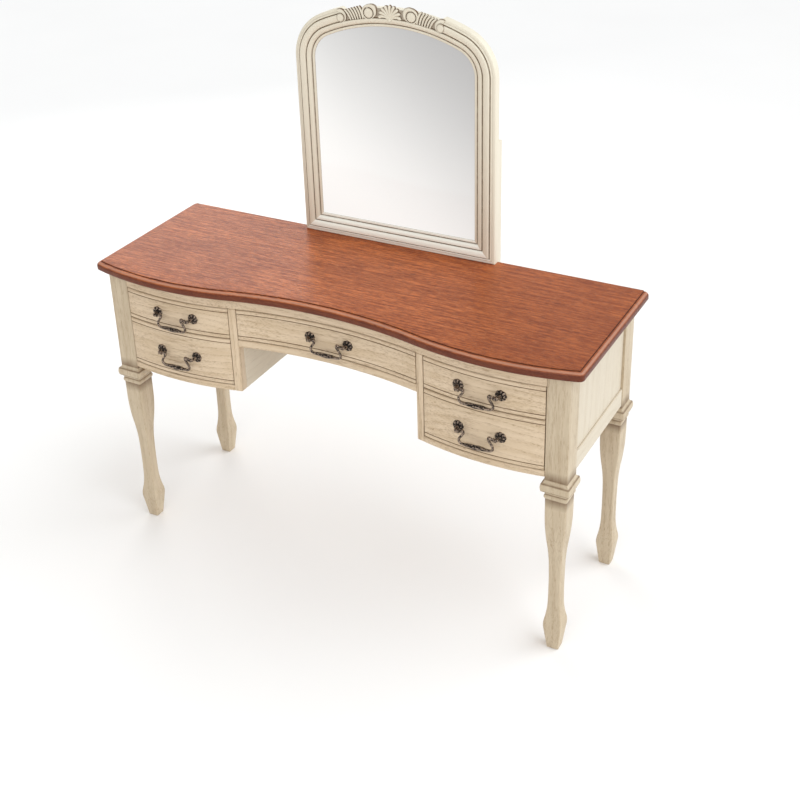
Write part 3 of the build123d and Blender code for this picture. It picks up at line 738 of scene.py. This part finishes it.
def lathe(shape, start, axis, outline, sides=16):
    """Turned part from start along a level axis: (distance, radius) in millimetres."""
    side, up = Vector((axis.y, -axis.x, 0.0)), Vector((0.0, 0.0, 1.0))
    rings = []
    for away, radius in outline:
        ring = []
        for k in range(sides):
            angle = 2 * pi * k / sides
            around = side * cos(angle) + up * sin(angle)
            ring.append((*(start + (axis * away + around * radius) * MM), 0.0))
        rings.append(ring)
    shape.tube(rings)


def handle_place(key):
    """Middle of a handle, on the axis that its bail turns about."""
    low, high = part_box(f"bail_{key}")
    x = (low.x + high.x) / 2
    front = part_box(f"drawer_front_{key}")
    return x, front_y(x) - STAND_OFF, (front[0].z + front[1].z) / 2


def posts(key):
    """Both posts: rosette, beaded neck that leans inwards, eye, and the shank's nut inside."""
    x, y, z = handle_place(key)
    shape = Shape()
    for side in (-1, 1):
        foot = x + side * POST_U
        rosette(shape, foot, z)
        face = front_y(foot)
        stem = [Vector((foot, face - 3.5 * MM, z)), Vector((foot, face - 7.0 * MM, z)),
                Vector((foot - side * 0.4 * MM, face - 10.5 * MM, z)),
                Vector((foot - side * 2.0 * MM, y + 1.4 * MM, z)),
                Vector((foot - side * 5.2 * MM, y, z)), Vector((foot - side * 8.4 * MM, y, z))]
        curved_rod(shape, stem, [r * MM for r in (3.0, 3.9, 2.9, 3.9, 4.3, 4.1)], per_span=5)
        for away, radius in ((3.7, 4.9), (10.7, 4.7)):
            bead = [(0.0, 1.6), (0.3, radius - 0.7), (1.1, radius), (1.9, radius - 0.7), (2.2, 1.6)]
            lathe(shape, Vector((foot - side * away * MM, y, z)), Vector((side, 0.0, 0.0)), bead)
        nut = [(-0.4, 2.1), (0.2, 3.8), (2.6, 4.0), (3.0, 3.4), (3.0, 2.1), (4.4, 1.9), (4.8, 1.2)]
        inside = Vector((foot, face + BOARD + 0.4 * MM, z))
        lathe(shape, inside, Vector((0.0, 1.0, 0.0)), nut, sides=6)
    make(shape, f"handle_posts_{key}_cast", f"drawer_{key}", BRONZE,
         [f"handle_posts_{key}"], sharp=50.0)


def bail(key):
    """Swan-neck bail: hooked ends, arms that sweep out, and a leaf-cut grip."""
    x, y, z = handle_place(key)
    # across and up from the handle's middle, radius
    half = [(-37.6, 0.0, 2.3), (-35.0, 0.3, 2.8), (-32.0, 1.8, 3.6), (-29.6, 1.6, 4.1), (-28.6, -2.0, 3.3),
            (-30.6, -7.0, 2.8), (-34.6, -12.5, 2.7), (-37.9, -18.5, 2.7), (-37.2, -25.0, 2.8),
            (-31.5, -28.6, 3.0), (-24.0, -29.0, 3.5), (-12.0, -29.0, 4.5)]
    outline = half + [(0.0, -29.0, 4.9)] + [(-u, v, r) for u, v, r in reversed(half)]
    route = [Vector((x + u * MM, y, z + v * MM)) for u, v, r in outline]
    shape = Shape()
    flutes = (10, 14, 5, 0.13, 1.6)
    curved_rod(shape, route, [r * MM for u, v, r in outline], sides=20, flutes=flutes, per_span=7)
    for side in (-1, 1):
        pin = [(0.0, 1.2), (0.0, 1.5), (8.0, 1.5), (8.2, 1.2)]
        lathe(shape, Vector((x + side * 37.0 * MM, y, z)), Vector((side, 0.0, 0.0)), pin)
    make(shape, f"bail_{key}_cast", f"bail_{key}", BRONZE, [f"bail_{key}"], sharp=50.0)


# ---- Mirror ----------------------------------------------------------------------------
# Section of the moulding: inset from the outer edge, depth behind the frame's foremost plane, glaze.
OUTER_BANDS = [
    (0.0, 24.0, 0.0), (0.0, 7.6, 0.0), (0.6, 6.3, 0.0), (2.0, 5.4, 0.0), (5.0, 4.8, 0.0),
    (6.9, 4.7, 0.25), (7.6, 3.9, 0.1), (8.7, 3.1, 0.0), (10.0, 3.0, 0.0), (11.0, 3.6, 0.0),
    (11.6, 5.0, 0.8), (12.8, 5.4, 1.0), (13.3, 3.6, 0.4), (13.9, 1.6, 0.0), (15.0, 0.4, 0.0),
    (17.0, 0.0, 0.0), (20.0, 0.1, 0.0), (24.0, 0.7, 0.0), (27.0, 1.8, 0.0), (28.4, 3.0, 0.1),
]
INNER_BANDS = [
    (29.1, 4.8, 1.0), (30.4, 5.4, 1.0), (30.9, 3.8, 0.3), (31.6, 2.3, 0.0), (33.2, 2.0, 0.0),
    (36.0, 2.5, 0.0), (39.0, 3.7, 0.0), (41.0, 5.1, 0.1), (42.1, 6.6, 0.5), (42.7, 7.8, 1.0),
    (43.5, 7.8, 1.0), (44.0, 6.9, 0.4), (45.4, 6.5, 0.0), (47.5, 6.6, 0.0), (49.3, 7.3, 0.1),
    (50.0, 8.4, 0.5), (50.0, 9.0, 0.8), (45.0, 9.0, 0.0), (45.0, 24.0, 0.0),
]
MOULDING = OUTER_BANDS + INNER_BANDS
CREST_DIP = 9.0             # under the crest the outer bands give way to a sunk backing, this far in
CREST_BACKING = [(CREST_DIP + 0.68 * inset, max(depth, 5.0), 0.6 if inset else 0.0)
                 for inset, depth, _ in OUTER_BANDS]
CREST_BACKING += INNER_BANDS
CREST_RUN = 12 * MM         # way over which the outer bands sink, behind the small scroll

SHOULDER_X = MIRROR_HALF - SHOULDER_R
RISE = ARCH_TOP - SHOULDER_Z - SHOULDER_R
DROP = (SHOULDER_X ** 2 - RISE ** 2) / (2 * RISE)
CROWN_CZ = SHOULDER_Z - DROP
CROWN_R = ARCH_TOP - CROWN_CZ
JOIN = atan2(DROP, SHOULDER_X)      # direction from the shoulder's centre to where the arcs meet


def crown_point(x):
    """Point and outward direction on the crown arc at x."""
    z = CROWN_CZ + sqrt(CROWN_R ** 2 - x * x)
    return (x, z), (x / CROWN_R, (z - CROWN_CZ) / CROWN_R)


def arch_stations(x_end):
    """Right half of the arch from its foot up to x_end: (point on the outer edge, outward direction)."""
    stations = [((MIRROR_HALF, z), (1.0, 0.0)) for z in spread(ARCH_FOOT, SHOULDER_Z, 0.015)[:-1]]
    for angle in spread(0.0, JOIN, radians(3.0)):
        way = (cos(angle), sin(angle))
        stations.append(((SHOULDER_X + SHOULDER_R * way[0], SHOULDER_Z + SHOULDER_R * way[1]), way))
    first = stations[-1][0][0]
    stations += [crown_point(x) for x in spread(first, x_end, 0.009)[1:]]
    return stations


def moulded(profile, stations):
    """Sections of the moulding at each station."""
    sections = []
    for (x, z), (way_x, way_z) in stations:
        sections.append([(x - way_x * inset * MM, MIRROR_Y + depth * MM, z - way_z * inset * MM, glaze)
                         for inset, depth, glaze in profile])
    return sections


def sinking(x_start, run):
    """Sections over which the full moulding turns into the crest's backing."""
    sections = []
    for t in even(0.0, 1.0, 8)[1:-1]:
        profile = [blend(full, sunk, smooth(t)) for full, sunk in zip(MOULDING, CREST_BACKING)]
        sections += moulded(profile, [crown_point(x_start - run * t)])
    return sections


def mirror_frame():
    """Stiles and bottom rail with a mitre between them, and the arched top."""
    mitre = [(MIRROR_HALF - inset * MM, MIRROR_Y + depth * MM, TABLE_H + inset * MM, glaze)
             for inset, depth, glaze in MOULDING]
    for way, side in ((1, "right"), (-1, "left")):
        stile = Shape()
        stile.tube([[(way * x, y, z + (ARCH_FOOT - z) * t, glaze) for x, y, z, glaze in mitre]
                    for t in even(0.0, 1.0, 4)])
        make(stile, f"mirror_stile_{side}_moulding", "table", FRAME_PAINT,
             [f"mirror_stile_{side}"])

    rail = Shape()
    rail.tube([[(x * t, y, z, glaze) for x, y, z, glaze in mitre] for t in even(-1.0, 1.0, 16)])
    # The rail takes the paler copy of the frame paint: painted light.
    make(rail, "mirror_bottom_rail_moulding", "table", FRAME_LOW_PAINTED_LIGHT, ["mirror_bottom_rail"])

    right = moulded(MOULDING, arch_stations(CREST_HALF)) + sinking(CREST_HALF, CREST_RUN)
    left = [[(-x, y, z, glaze) for x, y, z, glaze in section] for section in reversed(right)]
    sunk_half = CREST_HALF - CREST_RUN
    middle = moulded(CREST_BACKING, [crown_point(x) for x in spread(sunk_half, -sunk_half, 0.008)])
    arch = Shape()
    arch.tube(right + middle + left)
    make(arch, "mirror_arch_moulding", "table", FRAME_PAINT, ["mirror_arch"])


# ---- Crest, in millimetres -------------------------------------------------------------
CARVED = 5.0                # how far every carved part reaches back into the backing
VOLUTE = (52.0, 1265.0)     # middle of the large volute
DISC_R = 11.3               # button of the large volute
EYE_R = 8.3                 # button of the small scroll
REED = 20.8                 # middle of the moulding's reed, from the outer edge
FLUTES = 6                  # between the two scrolls of each side
FAN_Z = 1253.0              # foot of the fan
FAN_LOBES = ((19.0, 33.6), (38.0, 32.5), (57.0, 31.0), (77.0, 28.5))      # lean in degrees, length


def dome(shape, cx, cz, radius, front, rise, sides=28):
    """Round button with a domed face, dark round its foot."""
    profile = [(1.0, -CARVED, 1.0), (1.0, 0.0, 1.0), (0.95, 0.45 * rise, 0.3), (0.80, 0.72 * rise, 0.0),
               (0.55, 0.90 * rise, 0.0), (0.25, 0.99 * rise, 0.0)]
    turns = [2 * pi * k / sides for k in range(sides)]
    rings = []
    for reach, height, glaze in profile:
        rings.append([((cx + radius * reach * cos(turn)) * MM, front - height * MM,
                       (cz + radius * reach * sin(turn)) * MM, glaze) for turn in turns])
    shape.tube(rings)


def ridge(shape, line, widths, front, rises):
    """Raised lobe along a line in the frame's plane: half width and height at each point."""
    sections = []
    count = len(line)
    for i, (x, z) in enumerate(line):
        ax, az = line[max(i - 1, 0)]
        bx, bz = line[min(i + 1, count - 1)]
        size = hypot(bx - ax, bz - az)
        nx, nz = (az - bz) / size, (bx - ax) / size
        section = []
        for t, glaze in ((-1.0, 1.0), (-0.97, 1.0), (-0.85, 0.4), (-0.5, 0.0), (0.0, 0.0), (0.5, 0.0),
                         (0.85, 0.4), (0.97, 1.0), (1.0, 1.0)):
            lift = -CARVED if abs(t) == 1.0 else rises[i] * sqrt(1 - (t / 0.975) ** 2)
            aside = widths[i] * t
            section.append(((x + nx * aside) * MM, front - lift * MM, (z + nz * aside) * MM, glaze))
        sections.append(section)
    shape.tube(sections)


def eased_steps(stops, count):
    """Values that pass smoothly through (place from 0 to 1, value, ...) stops, at even steps."""
    made = []
    for k in range(count + 1):
        t = k / count
        after = next((i for i, stop in enumerate(stops) if stop[0] >= t and i > 0), len(stops) - 1)
        low, high = stops[after - 1], stops[after]
        part = smooth((t - low[0]) / (high[0] - low[0]))
        made.append(blend(low[1:], high[1:], part))
    return made


def on_crown(x, inset):
    """Millimetre point at an inset below the arch's outline, and the outward direction there."""
    (px, pz), way = crown_point(x * MM)
    return (px / MM - way[0] * inset, pz / MM - way[1] * inset), way


def volute(shape, front):
    """Button with a leaf that climbs beside the fan, curls over and closes round it."""
    dome(shape, *VOLUTE, DISC_R, front, 2.9)
    # place along the leaf, direction from the button, half width, height
    stops = ((0.0, 222.0, 1.0, 0.8), (0.12, 186.0, 3.2, 2.6), (0.30, 134.0, 5.6, 3.0),
             (0.46, 88.0, 3.2, 2.8), (0.66, 10.0, 2.5, 2.2), (0.85, -80.0, 1.6, 1.6),
             (1.0, -150.0, 0.7, 0.6))
    line, widths, rises = [], [], []
    for angle, half, rise in eased_steps(stops, 44):
        radius = DISC_R + 1.1 + half
        line.append((VOLUTE[0] + radius * cos(radians(angle)), VOLUTE[1] + radius * sin(radians(angle))))
        widths.append(half)
        rises.append(rise)
    ridge(shape, line, widths, front, rises)


def small_scroll(shape, front):
    """End of the moulding: its reed stops in a button, its outer band rolls round that button."""
    (cx, cz), way = on_crown(CREST_HALF / MM, REED)
    inward = (-way[1], way[0])
    reed_front = front - 3.05 * MM
    dome(shape, cx, cz, EYE_R + 1.2, reed_front, 0.0)
    dome(shape, cx, cz, EYE_R, reed_front, 1.2)
    # place along the band, direction from outwards, distance, half width, height
    stops = ((0.0, -14.0, 14.6, 5.6, 0.4), (0.2, 12.0, 14.2, 5.2, 1.6), (0.5, 70.0, 12.6, 3.6, 2.2),
             (0.8, 130.0, 11.0, 2.2, 1.8), (1.0, 172.0, 9.9, 1.0, 0.8))
    line, widths, rises = [], [], []
    for angle, radius, half, rise in eased_steps(stops, 26):
        up, over = cos(radians(angle)) * radius, sin(radians(angle)) * radius
        line.append((cx + way[0] * up + inward[0] * over, cz + way[1] * up + inward[1] * over))
        widths.append(half)
        rises.append(rise)
    ridge(shape, line, widths, front, rises)


def flute(shape, step, front):
    """One leaf-like flute between the scrolls: upright at its foot, sweeping outwards at its tip."""
    foot, _ = on_crown(70.5 + 6.5 * step, 30.0)
    bend, _ = on_crown(70.5 + 7.1 * step, 11.0)
    tip, _ = on_crown(77.0 + 7.3 * step, 3.0 + 0.8 * step)
    line, widths, rises = [], [], []
    for k in range(13):
        t = k / 12
        a, b, c = (1 - t) ** 2, 2 * t * (1 - t), t * t
        line.append((a * foot[0] + b * bend[0] + c * tip[0], a * foot[1] + b * bend[1] + c * tip[1]))
        swell = sin(pi * min(1.0, 0.12 + 0.80 * t)) ** 0.5
        widths.append(0.7 + 2.1 * swell)
        rises.append(0.6 + 2.4 * swell)
    ridge(shape, line, widths, front, rises)


def fan_lobe(shape, lean, reach, front):
    """One lobe of the shell, leaning away from upright by an angle in degrees and curling out."""
    line, widths, rises = [], [], []
    for k in range(13):
        t = k / 12
        radius = 3.0 + (reach - 3.0) * t
        angle = radians(90.0 - lean * (0.72 + 0.34 * t * t))
        line.append((radius * cos(angle), FAN_Z + radius * sin(angle)))
        tip = sqrt(max(0.0, 1 - max(0.0, (t - 0.80) / 0.20) ** 2))
        widths.append(max(0.25, (1.0 + 3.9 * t) * tip))
        rises.append(max(0.2, (1.6 + 1.3 * t) * (0.4 + 0.6 * tip)))
    ridge(shape, line, widths, front, rises)


def crest():
    """Carved crest, right half mirrored: fan, large volute, flutes and small scroll."""
    front = MIRROR_Y + 3.0 * MM
    shape = Shape()
    volute(shape, front)
    small_scroll(shape, front)
    for step in range(FLUTES):
        flute(shape, step, front)
    for lean, reach in FAN_LOBES:
        fan_lobe(shape, lean, reach, front)
    shape.mirrored()
    fan_lobe(shape, 0.0, 33.8, front - 0.2 * MM)
    dome(shape, 0.0, FAN_Z + 0.5, 4.2, front - 0.6 * MM, 2.2)
    make(shape, "mirror_crest_carving", "table", FRAME_PAINT, ["mirror_crest"], sharp=60.0)


# ---- Everything together ---------------------------------------------------------------
def carcass():
    """Boards that keep their CAD shape, edges eased."""
    finishes = {
        "back_rail": ("cream_paint", CREAM["X"]), "back_panels": ("cream_paint", CREAM["X"]),
        "side_top_rails": ("cream_paint", CREAM_SIDE["Y"]), "case_bottoms": ("fibre_board", FIBRE),
        "drawer_runners": ("bare_wood", BARE), "top_cleats": ("bare_wood", BARE),
        "mirror_back_board": ("fibre_board", FIBRE),
    }
    for side in ("left", "right"):
        finishes[f"knee_panel_{side}"] = ("cream_paint", CREAM_SIDE["Y"])
        finishes[f"side_panel_{side}"] = ("cream_paint", CREAM_SIDE["Z"])
        finishes[f"side_lower_rail_{side}"] = ("cream_paint", CREAM_SIDE["Y"])
        finishes[f"mirror_batten_{side}"] = ("frame_paint", FRAME_PAINT)
    for name, (slot, finish) in finishes.items():
        eased(name, "table", finish)


def fixings():
    """Screws keep their CAD shape too, smooth round their shanks."""
    for name in ("top_screws", "batten_screws"):
        eased(name, "table", ZINC, ease=0.0003, name=name + "_turned", sharp=CREASE)


def glazing():
    """The mirror glass is the CAD piece itself, with a material."""
    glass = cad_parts["mirror_glass"]
    glass.data.materials.clear()
    glass.data.materials.append(GLASS)


def drawers():
    """Front, box and handle of each drawer, on the drawer's body and the bail's own."""
    for key in ("upper_left", "lower_left", "centre", "upper_right", "lower_right"):
        drawer_front(key)
        eased(f"drawer_walls_{key}", f"drawer_{key}", BARE)
        eased(f"drawer_bottom_{key}", f"drawer_{key}", FIBRE, ease=0.0004)
        posts(key)
        bail(key)


AIM = Vector((0.0, 0.0, 0.6))       # what the lamps point at


def lamp(name, kind, where, **settings):
    """A light that the camera doesn't see."""
    light = bpy.data.lights.new(name, kind)
    for key, value in settings.items():
        setattr(light, key, value)
    made = bpy.data.objects.new(name, light)
    made.location = where
    made.visible_camera = False
    made.rotation_mode = "QUATERNION"
    made.rotation_quaternion = (AIM - Vector(where)).to_track_quat("-Z", "Y")
    bpy.context.scene.collection.objects.link(made)


def studio():
    """White floor and surroundings, a broad overhead light and two softboxes."""
    mesh = bpy.data.meshes.new("studio_floor")
    reach = 9.0
    corners = [(-reach, -reach, 0), (reach, -reach, 0), (reach, reach, 0), (-reach, reach, 0)]
    mesh.from_pydata(corners, [], [(0, 1, 2, 3)])
    floor = bpy.data.objects.new("studio_floor", mesh)
    floor.data.materials.append(studio_floor("studio_floor"))
    bpy.context.scene.collection.objects.link(floor)

    world = bpy.data.worlds.new("studio_world")
    world.use_nodes = True
    backdrop = world.node_tree.nodes["Background"]
    backdrop.inputs["Color"].default_value = (1.0, 1.0, 1.0, 1.0)
    backdrop.inputs["Strength"].default_value = 0.62
    bpy.context.scene.world = world

    lamp("wide_overhead", "SUN", (3.6, 0.6, 3.7), angle=radians(75.0), energy=1.98, color=(0.94, 1.0, 1.07))
    lamp("softbox_back_left", "AREA", (-1.9, 2.0, 2.0), shape="DISK", size=1.8, energy=18.0)
    lamp("softbox_front", "AREA", (0.7, -3.0, 2.0), shape="DISK", size=2.2, energy=22.0)
    bpy.context.scene.view_settings.view_transform = "Standard"


def camera():
    """Camera fitted to the photograph: angles in radians, lens in millimetres."""
    yaw, pitch, roll = 0.5345, 0.4713, -0.0446
    ahead = Vector((-sin(yaw) * cos(pitch), cos(yaw) * cos(pitch), -sin(pitch)))
    level = Vector((cos(yaw), sin(yaw), 0.0))
    upright = level.cross(ahead)
    right = level * cos(roll) + upright * sin(roll)
    up = upright * cos(roll) - level * sin(roll)
    lens = bpy.data.cameras.new("camera")
    lens.lens = 58.62
    lens.shift_x = 0.05
    lens.shift_y = -0.125
    made = bpy.data.objects.new("camera", lens)
    turned = Matrix((right, up, -ahead)).transposed().to_4x4()
    turned.translation = Vector((1.32955, -2.24600, 1.99176))
    made.matrix_world = turned
    bpy.context.scene.collection.objects.link(made)
    bpy.context.scene.camera = made


camera()
studio()
table_top()
for leg_name in ("leg_front_left", "leg_front_right", "leg_rear_left", "leg_rear_right"):
    leg(leg_name)
front_members()
carcass()
drawers()
mirror_frame()
crest()
glazing()
fixings()
